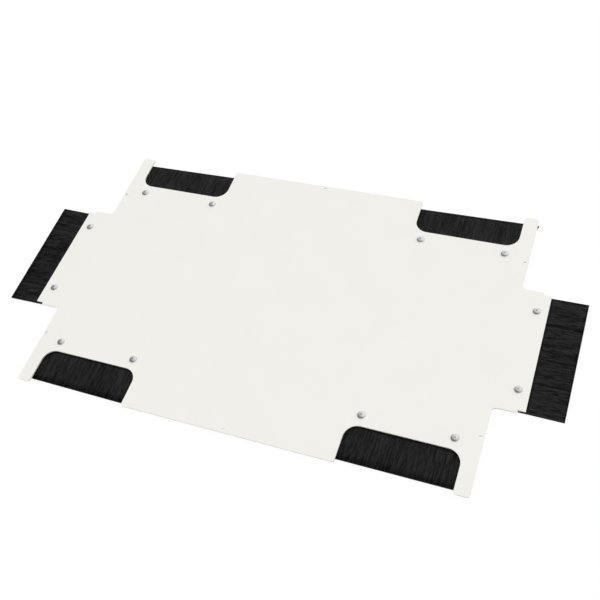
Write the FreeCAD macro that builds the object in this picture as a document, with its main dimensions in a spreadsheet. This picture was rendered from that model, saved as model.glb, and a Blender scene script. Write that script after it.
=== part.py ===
import FreeCAD, Part
import math
import os
import Sketcher

# Brush cable entry panel: a flat sheet with six brush strips screwed under its notches and end tabs.
# X runs along the panel, Y to its rear, Z up. Z = 0 is the underside of the sheet, at the panel's centre.
# Each strip is drawn with X along it, Y out over the bristles from the panel's edge, and Z as above.

doc = FreeCAD.newDocument("brush_cable_entry_panel")
sheet = doc.addObject("Spreadsheet::Sheet", "sizes")


# A size and the text that binds it to the sheet
class Size:
    def __init__(self, value, text):
        self.value = value
        self.text = text

    def join(self, other, sign, result):
        right = other.text if isinstance(other, Size) else str(other)
        return Size(result, "(" + self.text + " " + sign + " " + right + ")")

    def __add__(self, other):
        return self.join(other, "+", self.value + plain(other))

    def __sub__(self, other):
        return self.join(other, "-", self.value - plain(other))

    def __mul__(self, other):
        return self.join(other, "*", self.value * plain(other))

    def __truediv__(self, other):
        return self.join(other, "/", self.value / plain(other))

    def __neg__(self):
        return Size(-self.value, "(-1 * " + self.text + ")")


def plain(number):
    return number.value if isinstance(number, Size) else number


# One row of the sheet: the name, the number and its alias
def cell(name, value):
    cell.row += 1
    sheet.set("A%d" % cell.row, name.replace("_", " "))
    sheet.set("B%d" % cell.row, str(value))
    sheet.setAlias("B%d" % cell.row, name)
    return Size(value, "sizes." + name)


cell.row = 0

# Sheet-metal panel
panel_length = cell("panel_length", 600.0)
panel_width = cell("panel_width", 400.0)
panel_thickness = cell("panel_thickness", 2.0)
corner_radius = cell("corner_radius", 4.0)
shoulder_radius = cell("shoulder_radius", 2.5)
prong_width = cell("prong_width", 18.5)
notch_width = cell("notch_width", 139.0)
notch_depth = cell("notch_depth", 51.5)
notch_radius = cell("notch_radius", 17.5)
tab_width = cell("tab_width", 171.0)
tab_reach = cell("tab_reach", 37.5)
tab_root_radius = cell("tab_root_radius", 6.0)
tongue_length = cell("tongue_length", 10.0)
tongue_step = cell("tongue_step", 3.5)
edge_hole_diameter = cell("edge_hole_diameter", 3.5)
edge_hole_inset = cell("edge_hole_inset", 4.0)
edge_hole_spacing = cell("edge_hole_spacing", 252.0)

# Screws and nuts
screw_diameter = cell("screw_diameter", 5.0)
screw_length = cell("screw_length", 10.0)
screw_spacing = cell("screw_spacing", 112.0)
screw_inset = cell("screw_inset", 13.75)
screw_play = cell("screw_play", 0.5)
head_diameter = cell("head_diameter", 9.8)
head_rim = cell("head_rim", 0.8)
head_rise = cell("head_rise", 1.8)
head_bevel = cell("head_bevel", 2.4)
nut_flats = cell("nut_flats", 8.0)
nut_height = cell("nut_height", 4.0)
thread_play = cell("thread_play", 0.1)

# Holder profile
strip_length = cell("strip_length", 160.0)
holder_flange = cell("holder_flange", 2.0)
holder_floor = cell("holder_floor", 2.0)
holder_back = cell("holder_back", 1.5)
holder_lip = cell("holder_lip", 1.2)
holder_margin = cell("holder_margin", 8.75)
nut_gap = cell("nut_gap", 0.5)
mouth_inset = cell("mouth_inset", 1.5)
mouth_play = cell("mouth_play", 0.25)

# Steel back, core wire and bristles
back_height = cell("back_height", 4.1)
back_wall = cell("back_wall", 0.6)
back_play = cell("back_play", 0.2)
wire_diameter = cell("wire_diameter", 1.2)
notch_bristle_reach = cell("notch_bristle_reach", 43.5)
end_bristle_reach = cell("end_bristle_reach", 46.0)
bristle_tip_thickness = cell("bristle_tip_thickness", 6.0)
bristle_overhang = cell("bristle_overhang", 2.0)
tuft_pitch = cell("tuft_pitch", 7.5)
tuft_groove_width = cell("tuft_groove_width", 1.6)
tuft_groove_depth = cell("tuft_groove_depth", 0.5)
tuft_count = int(plain((strip_length + bristle_overhang * 2) / tuft_pitch)) - 1
doc.recompute()

# Levels and places that follow from the sizes above
half_length = panel_length / 2
half_width = panel_width / 2
notch_floor = half_width - notch_depth
notch_outer = half_length - prong_width
notch_inner = notch_outer - notch_width
notch_centre = notch_outer - notch_width / 2
tab_end = half_length + tab_reach
tongue_start = tab_end - tongue_length
tongue_half = tab_width / 2 - tongue_step
screw_hole = screw_diameter + screw_play
holder_rear = -(screw_inset + holder_margin)
channel_rear = -(screw_inset - nut_flats / 2 - nut_gap)
cavity_rear = channel_rear + holder_back
lip_rear = -(mouth_inset + holder_lip)
cavity_height = back_height + back_play * 2
cavity_top = -holder_flange
cavity_bottom = cavity_top - cavity_height
holder_bottom = cavity_bottom - holder_floor
strip_level = cavity_top - cavity_height / 2
back_rear = cavity_rear + back_play
back_front = lip_rear - back_play
root_half = back_height / 2 - back_wall
root_rear = back_rear + back_wall
wire_place = root_rear + root_half
mouth_half = root_half + mouth_play
tip_half = bristle_tip_thickness / 2
bristle_length = strip_length + bristle_overhang * 2


def bind(thing, field, size):
    thing.setExpression(field, size.text)


def new_body(name):
    body = doc.addObject("PartDesign::Body", name)
    body.Label = name
    return body


def origin_feature(body, role):
    return [feature for feature in body.Origin.OriginFeatures if feature.Role == role][0]


# A sketch on one of the body's own planes, set off along the plane's normal
def new_sketch(body, name, role, level=None):
    sketch = body.newObject("Sketcher::SketchObject", name)
    sketch.AttachmentSupport = [(origin_feature(body, role), "")]
    sketch.MapMode = "FlatFace"
    if level is not None:
        bind(sketch, "AttachmentOffset.Base.z", level)
    return sketch


# Add a dimension and bind it to its size
def dimension(sketch, kind, places, size):
    index = sketch.addConstraint(Sketcher.Constraint(kind, *places, size.value))
    sketch.setExpression("Constraints[%d]" % index, size.text)


# Hold a point at a place, each way from the sketch's origin, on an axis where the place is zero
def hold_point(sketch, geometry, point, place, ways=("DistanceX", "DistanceY")):
    axes = {"DistanceX": -2, "DistanceY": -1}
    for kind, size in zip(("DistanceX", "DistanceY"), place):
        if kind in ways and isinstance(size, Size):
            if size.value < 0:
                dimension(sketch, kind, (geometry, point, -1, 1), -size)
            else:
                dimension(sketch, kind, (-1, 1, geometry, point), size)
        elif kind in ways:
            sketch.addConstraint(Sketcher.Constraint("PointOnObject", geometry, point, axes[kind]))


def vector(place):
    return FreeCAD.Vector(plain(place[0]), plain(place[1]), 0)


# A closed outline of level and upright lines through the corners, round where a corner has a radius
def square_outline(sketch, corners):
    count = len(corners)
    starts = []
    ends = []
    for index, (across, along, radius) in enumerate(corners):
        corner = vector((across, along))
        before = vector(corners[index - 1]) - corner
        after = vector(corners[(index + 1) % count]) - corner
        trim = plain(radius) if radius else 0.0
        ends.append(corner + before.normalize() * trim)
        starts.append(corner + after.normalize() * trim)
    lines = []
    for index in range(count):
        following = (index + 1) % count
        lines.append(sketch.addGeometry(Part.LineSegment(starts[index], ends[following]), False))
        level = corners[index][1] is corners[following][1]
        sketch.addConstraint(Sketcher.Constraint("Horizontal" if level else "Vertical", lines[index]))
        hold_point(sketch, lines[index], 1, corners[index], ("DistanceY",) if level else ("DistanceX",))
    for index, (across, along, radius) in enumerate(corners):
        if not radius:
            sketch.addConstraint(Sketcher.Constraint("Coincident", lines[index - 1], 2, lines[index], 1))
            continue
        corner = vector((across, along))
        centre = ends[index] + starts[index] - corner
        middle = centre + (corner - centre).normalize() * plain(radius)
        arc = sketch.addGeometry(Part.Arc(ends[index], middle, starts[index]), False)
        first = sketch.getPoint(arc, 1).isEqual(ends[index], 1e-6)
        sketch.addConstraint(Sketcher.Constraint("Tangent", lines[index - 1], 2, arc, 1 if first else 2))
        sketch.addConstraint(Sketcher.Constraint("Tangent", lines[index], 1, arc, 2 if first else 1))
        dimension(sketch, "Radius", (arc,), radius)


# A closed outline of straight lines with every corner held
def free_outline(sketch, corners):
    count = len(corners)
    lines = []
    for index in range(count):
        ends = vector(corners[index]), vector(corners[(index + 1) % count])
        lines.append(sketch.addGeometry(Part.LineSegment(*ends), False))
    for index in range(count):
        sketch.addConstraint(Sketcher.Constraint("Coincident", lines[index - 1], 2, lines[index], 1))
    for index in range(count):
        hold_point(sketch, lines[index], 1, corners[index])


def circle(sketch, place, diameter):
    ring = Part.Circle(vector(place), FreeCAD.Vector(0, 0, 1), diameter.value / 2)
    index = sketch.addGeometry(ring, False)
    hold_point(sketch, index, 3, place)
    dimension(sketch, "Diameter", (index,), diameter)


def pad(body, sketch, length, both_ways=False):
    feature = body.newObject("PartDesign::Pad", sketch.Name + "_pad")
    feature.Profile = sketch
    bind(feature, "Length", length)
    feature.Midplane = both_ways
    return feature


def pocket_through(body, sketch):
    feature = body.newObject("PartDesign::Pocket", sketch.Name + "_cut")
    feature.Profile = sketch
    feature.Type = "ThroughAll"
    feature.Midplane = True
    return feature


# Repeat features in all four quarters of the panel
def mirror_quarters(body, name, features):
    quarters = body.newObject("PartDesign::MultiTransform", name)
    quarters.Originals = features
    mirrors = []
    for role in ("YZ_Plane", "XZ_Plane"):
        mirror = body.newObject("PartDesign::Mirrored", name + "_" + role[:2])
        mirror.MirrorPlane = (origin_feature(body, role), [""])
        mirrors.append(mirror)
    quarters.Transformations = mirrors
    body.Tip = quarters
    return quarters


# The panel: a quarter of the sheet and its holes, mirrored both ways
def build_panel():
    body = new_body("panel")
    outline = new_sketch(body, "panel_quarter", "XY_Plane")
    centre_line = 0
    tab_half = tab_width / 2
    square_outline(outline, [
        (centre_line, centre_line, None),
        (tab_end, centre_line, None),
        (tab_end, tongue_half, None),
        (tongue_start, tongue_half, None),
        (tongue_start, tab_half, None),
        (half_length, tab_half, tab_root_radius),
        (half_length, half_width, corner_radius),
        (notch_outer, half_width, corner_radius),
        (notch_outer, notch_floor, notch_radius),
        (notch_inner, notch_floor, notch_radius),
        (notch_inner, half_width, shoulder_radius),
        (centre_line, half_width, None),
    ])
    quarter = pad(body, outline, panel_thickness)
    mirror_quarters(body, "panel_sheet", [quarter])
    holes = new_sketch(body, "quarter_holes", "XY_Plane")
    for side in (-1, 1):
        circle(holes, (notch_centre + screw_spacing / 2 * side, notch_floor - screw_inset), screw_hole)
    circle(holes, (tab_end - screw_inset, screw_spacing / 2), screw_hole)
    circle(holes, (half_length - edge_hole_inset, edge_hole_spacing / 2), edge_hole_diameter)
    quarter_cut = pocket_through(body, holes)
    mirror_quarters(body, "panel_holes", [quarter_cut])
    middle = new_sketch(body, "middle_holes", "XY_Plane")
    for side in (-1, 1):
        circle(middle, (0, (half_width - edge_hole_inset) * side), edge_hole_diameter)
    body.Tip = pocket_through(body, middle)
    return body


# The holder: a screw flange with a lipped channel for the steel back
def build_holder():
    body = new_body("holder")
    section = new_sketch(body, "holder_section", "YZ_Plane")
    top = 0
    mouth = -mouth_inset
    mouth_top = strip_level + mouth_half
    mouth_bottom = strip_level - mouth_half
    square_outline(section, [
        (holder_rear, top, None),
        (mouth, top, None),
        (mouth, mouth_top, None),
        (lip_rear, mouth_top, None),
        (lip_rear, cavity_top, None),
        (cavity_rear, cavity_top, None),
        (cavity_rear, cavity_bottom, None),
        (lip_rear, cavity_bottom, None),
        (lip_rear, mouth_bottom, None),
        (mouth, mouth_bottom, None),
        (mouth, holder_bottom, None),
        (channel_rear, holder_bottom, None),
        (channel_rear, cavity_top, None),
        (holder_rear, cavity_top, None),
    ])
    pad(body, section, strip_length, True)
    holes = new_sketch(body, "holder_holes", "XY_Plane")
    for side in (-1, 1):
        circle(holes, (screw_spacing / 2 * side, -screw_inset), screw_hole)
    body.Tip = pocket_through(body, holes)
    return body


# The steel back: a folded channel, open to the front
def build_back():
    body = new_body("back")
    section = new_sketch(body, "back_section", "YZ_Plane")
    outer_top = strip_level + back_height / 2
    outer_bottom = strip_level - back_height / 2
    inner_top = strip_level + root_half
    inner_bottom = strip_level - root_half
    square_outline(section, [
        (back_rear, outer_bottom, None),
        (back_front, outer_bottom, None),
        (back_front, inner_bottom, None),
        (root_rear, inner_bottom, None),
        (root_rear, inner_top, None),
        (back_front, inner_top, None),
        (back_front, outer_top, None),
        (back_rear, outer_top, None),
    ])
    body.Tip = pad(body, section, strip_length, True)
    return body


# The core wire that the bristles are folded round
def build_wire():
    body = new_body("wire")
    section = new_sketch(body, "wire_section", "YZ_Plane")
    circle(section, (wire_place, strip_level), wire_diameter)
    body.Tip = pad(body, section, strip_length, True)
    return body


# A groove between two tufts, running out along the face of the bristles
def tuft_groove(body, name, face, place, reach):
    root_level = strip_level + root_half * face
    tip_level = strip_level + tip_half * face
    profiles = []
    for end, along, level in (("root", back_front, root_level), ("tip", reach, tip_level)):
        profile = new_sketch(body, name + "_" + end, "XZ_Plane", -along)
        above = level + tuft_groove_depth * face
        below = level - tuft_groove_depth * face
        free_outline(profile, [
            (place - tuft_groove_width, above),
            (place + tuft_groove_width, above),
            (place, below),
        ])
        profiles.append(profile)
    groove = body.newObject("PartDesign::SubtractiveLoft", name)
    groove.Profile = profiles[0]
    groove.Sections = [profiles[1]]
    groove.Ruled = True
    return groove


# The bristles: folded round the wire, spreading to their cut tips, and parted into tufts
def build_bristles(name, reach):
    body = new_body(name)
    section = new_sketch(body, name + "_section", "YZ_Plane")
    free_outline(section, [
        (root_rear, strip_level - root_half),
        (back_front, strip_level - root_half),
        (reach, strip_level - tip_half),
        (reach, strip_level + tip_half),
        (back_front, strip_level + root_half),
        (root_rear, strip_level + root_half),
    ])
    circle(section, (wire_place, strip_level), wire_diameter)
    pad(body, section, bristle_length, True)
    first_groove = -(tuft_pitch * ((tuft_count - 1) / 2))
    grooves = [
        tuft_groove(body, name + "_groove_above", 1, first_groove, reach),
        tuft_groove(body, name + "_groove_below", -1, first_groove, reach),
    ]
    pattern = body.newObject("PartDesign::LinearPattern", name + "_tufts")
    pattern.Originals = grooves
    pattern.Direction = (origin_feature(body, "X_Axis"), [""])
    pattern.Mode = "Spacing"
    pattern.Occurrences = tuft_count
    bind(pattern, "Offset", tuft_pitch)
    body.Tip = pattern
    return body


# A pan-head screw, standing on the sheet's top face
def build_screw():
    body = new_body("screw")
    half = new_sketch(body, "screw_half", "XZ_Plane")
    head_half = head_diameter / 2
    shank_half = screw_diameter / 2
    seat = panel_thickness
    rim = seat + head_rim
    crown = rim + head_rise
    end = seat - screw_length
    free_outline(half, [
        (0, end),
        (shank_half, end),
        (shank_half, seat),
        (head_half, seat),
        (head_half, rim),
        (head_half - head_bevel, crown),
        (0, crown),
    ])
    turned = body.newObject("PartDesign::Revolution", "screw_turned")
    turned.Profile = half
    turned.ReferenceAxis = (half, ["V_Axis"])
    body.Tip = turned
    return body


# A hexagon nut under the holder's flange, with a flat towards the channel
def build_nut():
    body = new_body("nut")
    outline = new_sketch(body, "nut_outline", "XY_Plane", -(holder_flange + nut_height))
    flat = nut_flats / 2
    corner = nut_flats / math.sqrt(3)
    free_outline(outline, [
        (corner, 0), (corner / 2, flat), (-(corner / 2), flat),
        (-corner, 0), (-(corner / 2), -flat), (corner / 2, -flat),
    ])
    circle(outline, (0, 0), screw_diameter + thread_play * 2)
    body.Tip = pad(body, outline, nut_height)
    return body


# A copy of a body that follows the original, set at its place on the panel
def clone(original, name, place, turn):
    body = new_body(name)
    base = doc.addObject("PartDesign::FeatureBase", name + "_copy")
    base.BaseFeature = original
    body.Group = [base]
    body.Tip = base
    set_place(body, place, turn)
    return body


def set_place(thing, place, turn):
    thing.Placement = FreeCAD.Placement(FreeCAD.Vector(), FreeCAD.Rotation(FreeCAD.Vector(0, 0, 1), turn))
    for axis, size in zip("xy", place):
        if isinstance(size, Size):
            bind(thing, "Placement.Base." + axis, size)


# For each way that a strip can face: the panel's directions along it and out of it, and its turn
facings = {
    "rear": ((1, 0), (0, 1), 0),
    "left": ((0, 1), (-1, 0), 90),
    "front": ((-1, 0), (0, -1), 180),
    "right": ((0, -1), (1, 0), 270),
}


# The place on the panel of a point of a strip
def on_panel(strip_place, facing, along, outward):
    along_steps, outward_steps, turn = facings[facing]
    place = []
    for middle, along_step, outward_step in zip(strip_place, along_steps, outward_steps):
        size = along * along_step + outward * outward_step
        place.append(size + middle if isinstance(middle, Size) else size)
    return place


panel = build_panel()
pieces = {
    "holder": build_holder(),
    "back": build_back(),
    "wire": build_wire(),
}
notch_bristles = build_bristles("notch_bristles", notch_bristle_reach)
end_bristles = build_bristles("end_bristles", end_bristle_reach)
screw = build_screw()
nut = build_nut()
doc.recompute()

# Each strip's name, the middle of its panel edge, the way it faces, and its bristles
strips = [
    ("rear_left", (-notch_centre, notch_floor), "rear", notch_bristles),
    ("rear_right", (notch_centre, notch_floor), "rear", notch_bristles),
    ("front_left", (-notch_centre, -notch_floor), "front", notch_bristles),
    ("front_right", (notch_centre, -notch_floor), "front", notch_bristles),
    ("left_end", (-tab_end, 0), "left", end_bristles),
    ("right_end", (tab_end, 0), "right", end_bristles),
]

nodes = [panel]
for strip, strip_place, facing, bristles in strips:
    turn = facings[facing][-1]
    for piece, original in [*pieces.items(), ("bristles", bristles)]:
        nodes.append(clone(original, strip + "_" + piece, strip_place, turn))
    for fastener, original in (("screw", screw), ("nut", nut)):
        pair = []
        for end, side in (("first", -1), ("second", 1)):
            place = on_panel(strip_place, facing, screw_spacing / 2 * side, -screw_inset)
            pair.append(clone(original, strip + "_" + end + "_" + fastener, place, turn))
        group = doc.addObject("Part::Compound", strip + "_" + fastener + "s")
        group.Label = strip + "_" + fastener + "s"
        group.Links = pair
        nodes.append(group)
doc.recompute()

# Every object must have come out whole before its file is written
for thing in doc.Objects:
    faults = [state for state in thing.State if state in ("Invalid", "Error")]
    if faults:
        raise RuntimeError(thing.Name + " is " + " ".join(faults))
os.makedirs("parts", exist_ok=True)
for node in nodes:
    if node.Shape.isNull() or not node.Shape.isValid() or not node.Shape.Solids:
        raise RuntimeError(node.Label + " has no sound shape")
    node.Shape.exportStep("parts/" + node.Label + ".step")
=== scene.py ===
import math

import bmesh
import bpy
import numpy as np
from mathutils import Matrix, Vector


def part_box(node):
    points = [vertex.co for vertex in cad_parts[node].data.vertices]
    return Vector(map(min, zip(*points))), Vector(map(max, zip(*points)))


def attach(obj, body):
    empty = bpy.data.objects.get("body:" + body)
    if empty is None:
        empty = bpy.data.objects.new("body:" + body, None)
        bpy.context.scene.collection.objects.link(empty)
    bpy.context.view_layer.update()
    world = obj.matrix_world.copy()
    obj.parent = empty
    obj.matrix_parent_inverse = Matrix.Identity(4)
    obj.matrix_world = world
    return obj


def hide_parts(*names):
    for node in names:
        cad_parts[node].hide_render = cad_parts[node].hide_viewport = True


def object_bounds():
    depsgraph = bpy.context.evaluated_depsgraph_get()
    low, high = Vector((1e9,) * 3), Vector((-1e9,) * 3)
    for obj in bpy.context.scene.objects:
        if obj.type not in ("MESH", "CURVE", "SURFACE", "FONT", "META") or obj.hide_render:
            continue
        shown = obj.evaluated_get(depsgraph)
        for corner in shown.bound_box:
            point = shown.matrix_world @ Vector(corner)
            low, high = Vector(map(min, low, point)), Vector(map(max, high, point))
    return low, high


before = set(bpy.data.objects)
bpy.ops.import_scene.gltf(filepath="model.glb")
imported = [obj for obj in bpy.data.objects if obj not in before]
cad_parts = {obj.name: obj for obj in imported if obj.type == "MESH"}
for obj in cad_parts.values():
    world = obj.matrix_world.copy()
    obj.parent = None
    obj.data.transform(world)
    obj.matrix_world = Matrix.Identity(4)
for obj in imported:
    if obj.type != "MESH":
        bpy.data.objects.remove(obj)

# A millimetre in metres, and the box of the solids
MM = 0.001
cad_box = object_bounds()

# Each strip's way out over its bristles
STRIPS = {
    "rear_left": (0, 1),
    "rear_right": (0, 1),
    "front_left": (0, -1),
    "front_right": (0, -1),
    "left_end": (-1, 0),
    "right_end": (1, 0),
}

# How much farther each strip's tips reach than the solid's, and by how much that grows along the strip
TRIM = {
    "rear_left": 0.3 * MM,
    "rear_right": -0.4 * MM,
    "front_left": 1.5 * MM,
    "front_right": 1.3 * MM,
    "left_end": 1.35 * MM,
    "right_end": -1.4 * MM,
}
SKEW = {
    "rear_left": 2.5 * MM,
    "rear_right": 3.0 * MM,
    "front_left": -2.0 * MM,
    "front_right": 0.0,
    "left_end": 2.5 * MM,
    "right_end": -1.0 * MM,
}

# How much wider the end strips are than their solids, how far they fan out, and how far they sit aside
END_SPREAD = {"left_end": 0.4 * MM, "right_end": -0.25 * MM}
END_FAN = {"left_end": 0.9 * MM, "right_end": 0.6 * MM}
END_SHIFT = {"right_end": -0.3 * MM}

# Loops of filament in a strip, how many of them close its two ends, and their thickness
LOOPS_PER_STRIP = 2300
END_LOOPS = 120
FILAMENT_RADIUS = 0.27 * MM
FILAMENT_SIDES = 3

# How deep the loops lie, as shares of the pack's half thickness, and how far that closes up at the tips
GOLDEN_SHARE = (math.sqrt(5) - 1) / 2
INNER_DEPTH = 0.08
OUTER_DEPTH = 0.98
TIP_GATHER = 0.5

# Places along a filament, as shares of its way from the steel back to the tip
SHARES = (1.0, 0.8, 0.5, 0.2)

# How tufts lean and bow, how late towards a strip's ends that fades, and the play of single filaments
TUFT_SPACING = 3.0 * MM
TUFT_LEAN = 0.25 * MM
TUFT_BOW = 2.0 * MM
END_HOLD = 10
SIDE_JITTER = 0.14 * MM
TIP_JITTER = 0.06 * MM
RANDOM_SEED = 6

# Tufts that are lighter or darker than the next, with roots painted lighter: painted light against the
# shade under the sheet's edge
TUFTS_PER_STRIP = 160
TUFT_TONES = (0.1, 0.9)
TONE_JITTER = 0.12
ROOT_PAINTED_LIGHT = 0.8

# A few filaments that splay aside at one strip's end
SPLAY_STRIP = "rear_right"
SPLAY_WIDTH = 3.0 * MM
SPLAY_REACH = 7.5 * MM
SPLAY_CURVE = 3

# Screw heads, with a cross recess
HEAD_RINGS = 14
HEAD_SIDES = 48
HEAD_RIM_SHARE = 0.25
SHANK_RADIUS = 2.5 * MM
SHANK_BEVEL = 0.5 * MM
RECESS_HALF_SPAN = 2.0 * MM
RECESS_HALF_SLOT = 0.5 * MM
RECESS_DEPTH = 1.3 * MM
RECESS_TURN = math.radians(37)
RECESS_FLOOR_SPAN = 0.5
RECESS_FLOOR_SLOT = 0.7
SHARP_ANGLE = math.radians(35)

# The sheet's softened edges
EDGE_WIDTH = 0.25 * MM
EDGE_SEGMENTS = 2
EDGE_ANGLE = math.radians(50)

# The values of a noise, and of the filaments' tone, between which a colour or a finish changes
NOISE_ENDS = (0.3, 0.7)
FILAMENT_ENDS = (0.41, 0.61)
NOISE_DETAIL = 3.0

# Powder coat
COAT_COLOURS = ((0.858, 0.850, 0.808), (0.870, 0.862, 0.820))
COAT_CLOUD = 60 * MM
COAT_ROUGHNESS = (0.42, 0.52)
COAT_PATCH = 4 * MM
PEEL_GRAIN = 0.9 * MM
PEEL_DETAIL = 1.0
PEEL_HEIGHT = 0.03 * MM
PEEL_STRENGTH = 0.25

# Black anodised profile
PROFILE_COLOURS = ((0.010, 0.010, 0.011), (0.022, 0.022, 0.023))
PROFILE_ROUGHNESS = (0.38, 0.55)
PROFILE_SHINE = 0.2
LINE_GRAIN = 0.4 * MM
LINE_STRETCH = 60
LINE_HEIGHT = 0.02 * MM
LINE_STRENGTH = 0.3

# Plated metals: colours, roughness and the size of their mottling
ZINC = (((0.69, 0.69, 0.70), (0.79, 0.79, 0.80)), 0.28, 3 * MM)
GALVANISED = (((0.45, 0.46, 0.47), (0.60, 0.61, 0.62)), 0.42, 2 * MM)
MOTTLE_ROUGHNESS = (0.8, 1.2)
GRAINS_PER_MOTTLE = 4
PLATING_HEIGHT = 0.01 * MM
PLATING_STRENGTH = 0.2

# Black filament, with its colour painted lighter where it runs along the panel: painted light for how the
# light falls on filaments lying that way
FILAMENT_DARKEST = 0.0015
FILAMENT_LIGHTEST = 0.019
FILAMENT_LIGHTEST_ALONG_PAINTED_LIGHT = 0.0285
FILAMENT_ROUGHNESS = (0.6, 0.42)
FILAMENT_SHINE = 0.25
GLINT_GRAIN = 1.25 * MM
GLINT_STRETCH = 10
GLINT_DETAIL = 2.0
GLINT_WAVER = 0.7
GLINT_SHARE = 0.75

# Camera, from the photograph's perspective
CAMERA_AZIMUTH = math.radians(33.019)
CAMERA_ELEVATION = math.radians(54.297)
CAMERA_ROLL = math.radians(-16.357)
CAMERA_DISTANCE = 1.09793
CAMERA_LENS = 50.148
CAMERA_SIDESTEP = (28.42 * MM, 4.42 * MM)
CAMERA_SENSOR = 36.0

# Studio light
STUDIO_BRIGHT_SIDE = (0.4, 0.85, 0.55)
STUDIO_DIM = 0.17
STUDIO_BRIGHT = 1.05
STUDIO_ENDS = (0.0, 0.9)
KEY_PLACE = (2.6, 1.0, 5.8)
KEY_SIZE = 3.0
KEY_POWER = 83
FILL_PLACE = (-6.4, -5.2, 9.2)
FILL_SIZE = 5.0
FILL_POWER = 596
FLOOR_SIZE = 12
FLOOR_GLOW = 1.01
FLOOR_GLOW_SHARE = 0.95
FLOOR_WHITE = 0.9
FLOOR_ROUGHNESS = 0.9
FLOOR_GAP = 0.1 * MM


# A new material, its node tree and its principled shader
def new_material(name):
    material = bpy.data.materials.new(name)
    material.use_nodes = True
    tree = material.node_tree
    return material, tree, tree.nodes["Principled BSDF"]


# A noise of the given grain, in metres, stretched along the axes by the given factors
def noise(tree, grain, stretch=(1, 1, 1), detail=NOISE_DETAIL, waver=0.0):
    place = tree.nodes.new("ShaderNodeTexCoord")
    mapping = tree.nodes.new("ShaderNodeMapping")
    mapping.inputs["Scale"].default_value = [1 / (grain * factor) for factor in stretch]
    texture = tree.nodes.new("ShaderNodeTexNoise")
    texture.inputs["Scale"].default_value = 1.0
    texture.inputs["Detail"].default_value = detail
    texture.inputs["Distortion"].default_value = waver
    tree.links.new(place.outputs["Object"], mapping.inputs["Vector"])
    tree.links.new(mapping.outputs["Vector"], texture.inputs["Vector"])
    return texture.outputs["Fac"]


# Send a colour between two colours, by a value, to a socket
def colour_between(tree, value, colours, socket, ends=NOISE_ENDS):
    ramp = tree.nodes.new("ShaderNodeValToRGB")
    for element, colour, end in zip(ramp.color_ramp.elements, colours, ends):
        element.position = end
        element.color = (*colour, 1)
    tree.links.new(value, ramp.inputs["Fac"])
    tree.links.new(ramp.outputs["Color"], socket)


# Send a number between two numbers, by a value, to a socket
def number_between(tree, value, numbers, socket):
    spread = tree.nodes.new("ShaderNodeMapRange")
    spread.inputs["From Min"].default_value = NOISE_ENDS[0]
    spread.inputs["From Max"].default_value = NOISE_ENDS[1]
    spread.inputs["To Min"].default_value = numbers[0]
    spread.inputs["To Max"].default_value = numbers[1]
    tree.links.new(value, spread.inputs["Value"])
    tree.links.new(spread.outputs["Result"], socket)


# Raise and sink a surface by a value
def add_bump(tree, shader, value, height, strength):
    bump = tree.nodes.new("ShaderNodeBump")
    bump.inputs["Distance"].default_value = height
    bump.inputs["Strength"].default_value = strength
    tree.links.new(value, bump.inputs["Height"])
    tree.links.new(bump.outputs["Normal"], shader.inputs["Normal"])


# White powder coat with a fine orange peel
def powder_coat():
    material, tree, shader = new_material("powder_coat")
    colour_between(tree, noise(tree, COAT_CLOUD), COAT_COLOURS, shader.inputs["Base Color"])
    number_between(tree, noise(tree, COAT_PATCH), COAT_ROUGHNESS, shader.inputs["Roughness"])
    add_bump(tree, shader, noise(tree, PEEL_GRAIN, detail=PEEL_DETAIL), PEEL_HEIGHT, PEEL_STRENGTH)
    return material


# Black anodised profile, with fine lines along its length
def black_profile(name, stretch):
    material, tree, shader = new_material(name)
    lines = noise(tree, LINE_GRAIN, stretch)
    colour_between(tree, lines, PROFILE_COLOURS, shader.inputs["Base Color"])
    number_between(tree, lines, PROFILE_ROUGHNESS, shader.inputs["Roughness"])
    shader.inputs["Specular IOR Level"].default_value = PROFILE_SHINE
    add_bump(tree, shader, lines, LINE_HEIGHT, LINE_STRENGTH)
    return material


# Plated metal with a slightly mottled shine
def plated_metal(name, colours, roughness, mottling):
    material, tree, shader = new_material(name)
    mottle = noise(tree, mottling)
    colour_between(tree, mottle, colours, shader.inputs["Base Color"])
    finish = [roughness * share for share in MOTTLE_ROUGHNESS]
    number_between(tree, mottle, finish, shader.inputs["Roughness"])
    shader.inputs["Metallic"].default_value = 1.0
    add_bump(tree, shader, noise(tree, mottling / GRAINS_PER_MOTTLE), PLATING_HEIGHT, PLATING_STRENGTH)
    return material


# Black filament, each tuft a little lighter or darker and painted lighter at its roots, with short glints
# along it
def filament_black(name, stretch, lightest):
    material, tree, shader = new_material(name)
    tone = tree.nodes.new("ShaderNodeAttribute")
    tone.attribute_name = "tone"
    glint = noise(tree, GLINT_GRAIN, stretch, GLINT_DETAIL, GLINT_WAVER)
    blend = tree.nodes.new("ShaderNodeMix")
    blend.inputs["Factor"].default_value = GLINT_SHARE
    tree.links.new(tone.outputs["Fac"], blend.inputs["A"])
    tree.links.new(glint, blend.inputs["B"])
    shade = blend.outputs["Result"]
    greys = [(level, level, level) for level in (FILAMENT_DARKEST, lightest)]
    colour_between(tree, shade, greys, shader.inputs["Base Color"], FILAMENT_ENDS)
    number_between(tree, shade, FILAMENT_ROUGHNESS, shader.inputs["Roughness"])
    shader.inputs["Specular IOR Level"].default_value = FILAMENT_SHINE
    return material


# A mesh object from an array of points and arrays of faces, each array with one number of sides
def mesh_piece(name, points, face_arrays, material):
    corners = np.concatenate([faces.ravel() for faces in face_arrays])
    sides = np.concatenate([np.full(len(faces), faces.shape[1]) for faces in face_arrays])
    mesh = bpy.data.meshes.new(name)
    mesh.vertices.add(len(points))
    mesh.vertices.foreach_set("co", points.astype(np.float32).ravel())
    mesh.loops.add(corners.size)
    mesh.loops.foreach_set("vertex_index", corners.astype(np.int32))
    mesh.polygons.add(sides.size)
    mesh.polygons.foreach_set("loop_start", (np.cumsum(sides) - sides).astype(np.int32))
    mesh.update(calc_edges=True)
    mesh.materials.append(material)
    piece = bpy.data.objects.new(name, mesh)
    bpy.context.scene.collection.objects.link(piece)
    return piece


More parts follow.
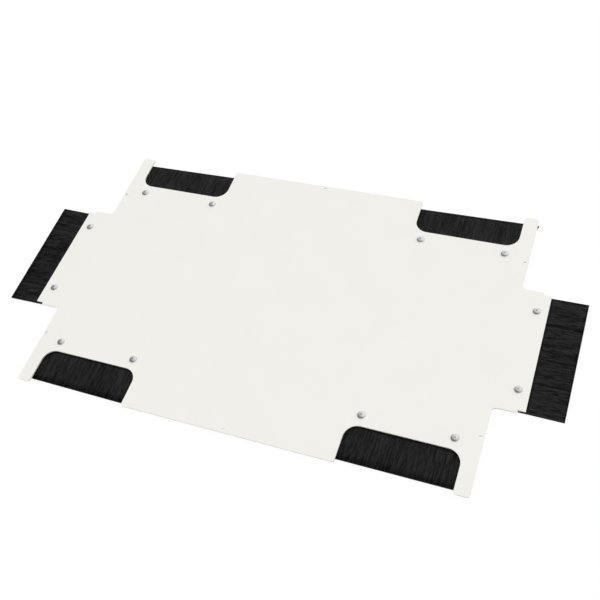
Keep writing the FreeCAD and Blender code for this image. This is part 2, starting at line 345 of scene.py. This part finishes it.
# The strip's own sizes and place, read off its solids: x along it, y out over the bristles
def strip_frame(strip):
    outward = Vector((*STRIPS[strip], 0))
    along = outward.cross(Vector((0, 0, 1)))
    boxes = {}
    for piece in ("bristles", "back", "wire"):
        low, high = (Vector(corner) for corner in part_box(strip + "_" + piece))
        reach = sorted((low.dot(outward), high.dot(outward)))
        width = sorted((low.dot(along), high.dot(along)))
        boxes[piece] = {"out": reach, "along": width, "level": (low.z, high.z)}
    return outward, along, boxes


# The path of every loop of filament: out along the upper face, round the wire and back below
def loop_paths(strip, boxes, rng):
    bristles, wire, back = boxes["bristles"], boxes["wire"], boxes["back"]
    wire_radius = (wire["level"][1] - wire["level"][0]) / 2
    wire_out = sum(wire["out"]) / 2
    wire_level = sum(wire["level"]) / 2
    root_half = wire_out - bristles["out"][0]
    tip_half = (bristles["level"][1] - bristles["level"][0]) / 2
    tip_out = bristles["out"][1]
    back_front = back["out"][1]
    middle = sum(bristles["along"]) / 2
    half = (bristles["along"][1] - bristles["along"][0]) / 2 - FILAMENT_RADIUS
    half += END_SPREAD.get(strip, 0.0)
    ends = np.repeat((-half, half), END_LOOPS // 2)
    side = np.sort(np.concatenate([np.linspace(-half, half, LOOPS_PER_STRIP - END_LOOPS), ends]))
    spread = np.arange(LOOPS_PER_STRIP) * GOLDEN_SHARE % 1
    depth = INNER_DEPTH + (OUTER_DEPTH - INNER_DEPTH) * (1 - (1 - spread) ** 2)
    loop_radius = wire_radius + (root_half - wire_radius) * depth
    trim_line = tip_out + TRIM[strip] + SKEW[strip] * side / (2 * half)
    leaning_places = np.arange(-half, half + TUFT_SPACING, TUFT_SPACING)
    held = 1 - (side / half) ** END_HOLD
    tuft_lean = held * np.interp(side, leaning_places, rng.normal(0, TUFT_LEAN, leaning_places.size))
    tuft_bow = held * np.interp(side, leaning_places, rng.normal(0, TUFT_BOW, leaning_places.size))
    paths = []
    for face in (1, -1):
        lean = tuft_lean + rng.normal(0, SIDE_JITTER, LOOPS_PER_STRIP)
        tip_side = np.clip(side + lean, -half, half) + END_FAN.get(strip, 0.0) * side / half
        near_end = np.clip((side - (half - SPLAY_WIDTH)) / SPLAY_WIDTH, 0, 1)
        splay = SPLAY_REACH * near_end if strip == SPLAY_STRIP else 0.0
        tip_level = wire_level + face * (tip_half * TIP_GATHER - FILAMENT_RADIUS) * depth
        tip = trim_line - np.abs(rng.normal(0, TIP_JITTER, LOOPS_PER_STRIP))
        bow = tuft_bow + rng.normal(0, SIDE_JITTER, LOOPS_PER_STRIP)
        stations = []
        for share in SHARES:
            across = side + (tip_side - side) * share + bow * share * (1 - share)
            across = across + splay * share ** SPLAY_CURVE
            out = back_front + (tip - back_front) * share
            level = wire_level + face * loop_radius * (1 - share) + (tip_level - wire_level) * share
            stations.append(np.stack([across, out, level], 1))
        beside_wire = np.full_like(side, wire_out)
        stations.append(np.stack([side, beside_wire, wire_level + face * loop_radius], 1))
        paths.append(stations if face > 0 else stations[::-1])
    turn = np.stack([side, wire_out - loop_radius, np.full_like(side, wire_level)], 1)
    path = np.stack([*paths[0], turn, *paths[1]], 1)
    path[..., 0] += middle + END_SHIFT.get(strip, 0.0)
    return path


# How light each loop of filament is at its stations: tufts of uneven width, each with its own root and
# tip, and light painted in at the fold round the wire against the shade under the sheet's edge
def loop_tones(rng):
    tuft_ends = np.sort(rng.uniform(0, LOOPS_PER_STRIP, TUFTS_PER_STRIP))
    tuft = np.searchsorted(tuft_ends, np.arange(LOOPS_PER_STRIP))
    root, tip = rng.uniform(*TUFT_TONES, (2, TUFTS_PER_STRIP + 1))[:, tuft]
    outer = [root + (tip - root) * share for share in SHARES]
    # Painted light: the fold round the wire is made lighter, so the roots don't show the shade under the
    # sheet's edge
    fold_painted_light = root + ROOT_PAINTED_LIGHT
    tone = np.stack([*outer, fold_painted_light, fold_painted_light, fold_painted_light, *outer[::-1]], 1)
    return tone + rng.normal(0, TONE_JITTER, (LOOPS_PER_STRIP, 1))


# The bristles of one strip, as loops of filament with closed tips
def bristle_piece(strip, material, rng):
    outward, along, boxes = strip_frame(strip)
    path = loop_paths(strip, boxes, rng)
    tone = loop_tones(rng)
    loops, stations, _ = path.shape
    heading = np.gradient(path, axis=1)
    heading /= np.linalg.norm(heading, axis=2, keepdims=True)
    sideways = np.zeros_like(heading)
    sideways[..., 0] = 1
    lift = np.cross(heading, sideways)
    lift /= np.linalg.norm(lift, axis=2, keepdims=True)
    sideways = np.cross(lift, heading)
    corners = []
    for corner in range(FILAMENT_SIDES):
        angle = math.radians(90 + 360 / FILAMENT_SIDES * corner)
        corners.append(path + FILAMENT_RADIUS * (math.cos(angle) * sideways + math.sin(angle) * lift))
    rings = np.stack(corners, 2)
    axes = np.array([along, outward, (0, 0, 1)])
    points = rings.reshape(-1, 3) @ axes
    index = np.arange(loops * stations * FILAMENT_SIDES).reshape(loops, stations, FILAMENT_SIDES)
    ahead = np.roll(index, -1, axis=2)
    walls = np.stack([index[:, :-1], ahead[:, :-1], ahead[:, 1:], index[:, 1:]], -1)
    tips = np.concatenate([index[:, 0, ::-1], index[:, -1]])
    piece = mesh_piece(strip + "_filaments", points, [walls.reshape(-1, 4), tips], material)
    shade = piece.data.attributes.new("tone", "FLOAT", "POINT")
    shade.data.foreach_set("value", np.repeat(tone.ravel(), FILAMENT_SIDES).astype(np.float32))
    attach(piece, "root")
    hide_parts(strip + "_bristles")


# A pan-head screw with a domed head, standing at the origin on the level of its seat
def screw_mesh(seat, crown, tip, head_radius):
    mesh = bmesh.new()
    rim = seat + (crown - seat) * HEAD_RIM_SHARE
    profile = [
        (0.0, tip),
        (SHANK_RADIUS - SHANK_BEVEL, tip),
        (SHANK_RADIUS, tip + SHANK_BEVEL),
        (SHANK_RADIUS, seat),
        (head_radius, seat),
        (head_radius, rim),
    ]
    for step in range(1, HEAD_RINGS):
        angle = math.pi / 2 * step / HEAD_RINGS
        profile.append((head_radius * math.cos(angle), rim + (crown - rim) * math.sin(angle)))
    profile.append((0.0, crown))
    rows = []
    for radius, level in profile:
        if radius == 0.0:
            rows.append([mesh.verts.new((0, 0, level))] * HEAD_SIDES)
            continue
        ring = []
        for side in range(HEAD_SIDES):
            angle = 2 * math.pi * side / HEAD_SIDES
            ring.append(mesh.verts.new((radius * math.cos(angle), radius * math.sin(angle), level)))
        rows.append(ring)
    for lower, upper in zip(rows, rows[1:]):
        for side in range(HEAD_SIDES):
            following = (side + 1) % HEAD_SIDES
            corners = [lower[side], lower[following], upper[following], upper[side]]
            mesh.faces.new(list(dict.fromkeys(corners)))
    return mesh


# Cut the cross recess into a screw's crown
def cut_recess(screw, crown):
    cutter = bmesh.new()
    for turn in (0, math.pi / 2):
        arm = bmesh.ops.create_cube(cutter, size=2.0)["verts"]
        bmesh.ops.scale(cutter, verts=arm, vec=(RECESS_HALF_SPAN, RECESS_HALF_SLOT, RECESS_DEPTH))
        for corner in arm:
            if corner.co.z < 0:
                corner.co.x *= RECESS_FLOOR_SPAN
                corner.co.y *= RECESS_FLOOR_SLOT
        bmesh.ops.rotate(cutter, verts=arm, cent=(0, 0, 0), matrix=Matrix.Rotation(turn, 3, "Z"))
        bmesh.ops.translate(cutter, verts=arm, vec=(0, 0, crown))
    shape = bpy.data.meshes.new("recess_cutter")
    cutter.to_mesh(shape)
    cutter.free()
    tool = bpy.data.objects.new("recess_cutter", shape)
    bpy.context.scene.collection.objects.link(tool)
    cut = screw.modifiers.new("recess", "BOOLEAN")
    cut.operation = "DIFFERENCE"
    cut.solver = "EXACT"
    cut.use_self = True
    cut.object = tool
    bpy.context.view_layer.update()
    evaluated = screw.evaluated_get(bpy.context.evaluated_depsgraph_get())
    finished = bpy.data.meshes.new_from_object(evaluated)
    screw.modifiers.clear()
    screw.data = finished
    bpy.data.objects.remove(tool)


# One finished screw, to be copied to every place
def master_screw(material):
    low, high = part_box("rear_left_screws")
    head_radius = (high[1] - low[1]) / 2
    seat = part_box("panel")[1][2]
    mesh = screw_mesh(seat, high[2], low[2], head_radius)
    data = bpy.data.meshes.new("screw")
    mesh.to_mesh(data)
    mesh.free()
    data.materials.append(material)
    screw = bpy.data.objects.new("screw", data)
    bpy.context.scene.collection.objects.link(screw)
    cut_recess(screw, high[2])
    for polygon in screw.data.polygons:
        polygon.use_smooth = True
    screw.data.set_sharp_from_angle(angle=SHARP_ANGLE)
    finished = screw.data
    bpy.data.objects.remove(screw)
    return finished


# The two screws of one strip, each turned as it was tightened
def screw_pair(strip, data, number):
    low, high = (Vector(corner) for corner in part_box(strip + "_screws"))
    middle = (low + high) / 2
    reach = (high - low) / 2
    head_radius = min(reach.x, reach.y)
    offset = Vector((reach.x - head_radius, reach.y - head_radius, 0))
    joined = bmesh.new()
    for side in (-1, 1):
        turned = data.copy()
        place = Matrix.Translation((middle + offset * side).xy.to_3d())
        turned.transform(place @ Matrix.Rotation(RECESS_TURN * (2 * number + side), 4, "Z"))
        joined.from_mesh(turned)
        bpy.data.meshes.remove(turned)
    pair = bpy.data.meshes.new(strip + "_screw_pair")
    joined.to_mesh(pair)
    joined.free()
    pair.materials.append(data.materials[0])
    piece = bpy.data.objects.new(strip + "_screw_pair", pair)
    bpy.context.scene.collection.objects.link(piece)
    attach(piece, "root")
    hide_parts(strip + "_screws")


# Give a solid its material
def paint(node, material):
    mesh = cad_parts[node].data
    mesh.materials.clear()
    mesh.materials.append(material)


# Round a solid's sharp edges a little
def soften_edges(node):
    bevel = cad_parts[node].modifiers.new("edges", "BEVEL")
    bevel.width = EDGE_WIDTH
    bevel.segments = EDGE_SEGMENTS
    bevel.limit_method = "ANGLE"
    bevel.angle_limit = EDGE_ANGLE
    bevel.harden_normals = True


# White floor under the holders that keeps a faint shadow
def build_floor():
    level = cad_box[0][2] - FLOOR_GAP
    bpy.ops.mesh.primitive_plane_add(size=FLOOR_SIZE, location=(0, 0, level))
    floor = bpy.context.object
    floor.name = "floor"
    material, tree, shader = new_material("floor_white")
    shader.inputs["Base Color"].default_value = (FLOOR_WHITE, FLOOR_WHITE, FLOOR_WHITE, 1)
    shader.inputs["Roughness"].default_value = FLOOR_ROUGHNESS
    shader.inputs["Specular IOR Level"].default_value = 0.0
    glow = tree.nodes.new("ShaderNodeEmission")
    glow.inputs["Strength"].default_value = FLOOR_GLOW
    path = tree.nodes.new("ShaderNodeLightPath")
    seen = tree.nodes.new("ShaderNodeMath")
    seen.operation = "ADD"
    share = tree.nodes.new("ShaderNodeMath")
    share.operation = "MULTIPLY"
    share.inputs[1].default_value = FLOOR_GLOW_SHARE
    mix = tree.nodes.new("ShaderNodeMixShader")
    tree.links.new(path.outputs["Is Camera Ray"], seen.inputs[0])
    tree.links.new(path.outputs["Is Glossy Ray"], seen.inputs[1])
    tree.links.new(seen.outputs[0], share.inputs[0])
    tree.links.new(share.outputs[0], mix.inputs["Fac"])
    tree.links.new(shader.outputs["BSDF"], mix.inputs[1])
    tree.links.new(glow.outputs["Emission"], mix.inputs[2])
    tree.links.new(mix.outputs["Shader"], tree.nodes["Material Output"].inputs["Surface"])
    floor.data.materials.append(material)


# A studio that is bright above the rear and dim on the opposite side
def build_world():
    world = bpy.data.worlds.new("studio")
    bpy.context.scene.world = world
    world.use_nodes = True
    tree = world.node_tree
    place = tree.nodes.new("ShaderNodeTexCoord")
    facing = tree.nodes.new("ShaderNodeVectorMath")
    facing.operation = "DOT_PRODUCT"
    facing.inputs[1].default_value = Vector(STUDIO_BRIGHT_SIDE).normalized()
    tree.links.new(place.outputs["Generated"], facing.inputs[0])
    background = tree.nodes["Background"]
    background.inputs["Strength"].default_value = 1.0
    greys = [(level, level, level) for level in (STUDIO_DIM, STUDIO_BRIGHT)]
    colour_between(tree, facing.outputs["Value"], greys, background.inputs["Color"], STUDIO_ENDS)


# A round lamp that faces the part and isn't mirrored in it
def add_lamp(name, place, size, power):
    data = bpy.data.lights.new(name, "AREA")
    data.shape = "DISK"
    data.size = size
    data.energy = power
    lamp = bpy.data.objects.new(name, data)
    lamp.location = place
    lamp.visible_glossy = False
    lamp.rotation_euler = (-Vector(place)).to_track_quat("-Z", "Y").to_euler()
    bpy.context.scene.collection.objects.link(lamp)


# The camera, set by its direction, roll, distance and the point it looks at
def build_camera():
    back = Vector((math.sin(CAMERA_AZIMUTH) * math.cos(CAMERA_ELEVATION),
                   -math.cos(CAMERA_AZIMUTH) * math.cos(CAMERA_ELEVATION),
                   math.sin(CAMERA_ELEVATION)))
    level = Vector((0, 0, 1)).cross(back).normalized()
    upright = back.cross(level)
    right = math.cos(CAMERA_ROLL) * level + math.sin(CAMERA_ROLL) * upright
    up = back.cross(right)
    target = Vector((*CAMERA_SIDESTEP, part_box("panel")[1][2]))
    data = bpy.data.cameras.new("camera")
    data.lens = CAMERA_LENS
    data.sensor_width = CAMERA_SENSOR
    camera = bpy.data.objects.new("camera", data)
    turn = Matrix((right, up, back)).transposed().to_4x4()
    camera.matrix_world = Matrix.Translation(target + back * CAMERA_DISTANCE) @ turn
    bpy.context.scene.collection.objects.link(camera)
    bpy.context.scene.camera = camera


# Materials, with a pair for the strips on the long sides (0) and on the ends (1)
bpy.context.scene.view_settings.view_transform = "Standard"
coat = powder_coat()
profiles = {
    0: black_profile("black_profile_along", (LINE_STRETCH, 1, 1)),
    1: black_profile("black_profile_across", (1, LINE_STRETCH, 1)),
}
zinc = plated_metal("bright_zinc", *ZINC)
galvanised = plated_metal("galvanised", *GALVANISED)
# The filament on the end strips is a copy painted lighter, painted light for how light falls on filaments
# running along the panel
filaments = {
    0: filament_black("filament_black_across", (1, GLINT_STRETCH, 1), FILAMENT_LIGHTEST),
    1: filament_black("filament_black_along_painted_light", (GLINT_STRETCH, 1, 1), FILAMENT_LIGHTEST_ALONG_PAINTED_LIGHT),
}

# The panel and its strips
paint("panel", coat)
soften_edges("panel")
screw_data = master_screw(zinc)
rng = np.random.default_rng(RANDOM_SEED)
for number, strip in enumerate(STRIPS):
    on_end = abs(STRIPS[strip][0])
    paint(strip + "_holder", profiles[on_end])
    paint(strip + "_back", galvanised)
    paint(strip + "_wire", galvanised)
    paint(strip + "_nuts", zinc)
    bristle_piece(strip, filaments[on_end], rng)
    screw_pair(strip, screw_data, number)

# The studio
build_floor()
build_world()
add_lamp("key", KEY_PLACE, KEY_SIZE, KEY_POWER)
add_lamp("fill", FILL_PLACE, FILL_SIZE, FILL_POWER)
build_camera()
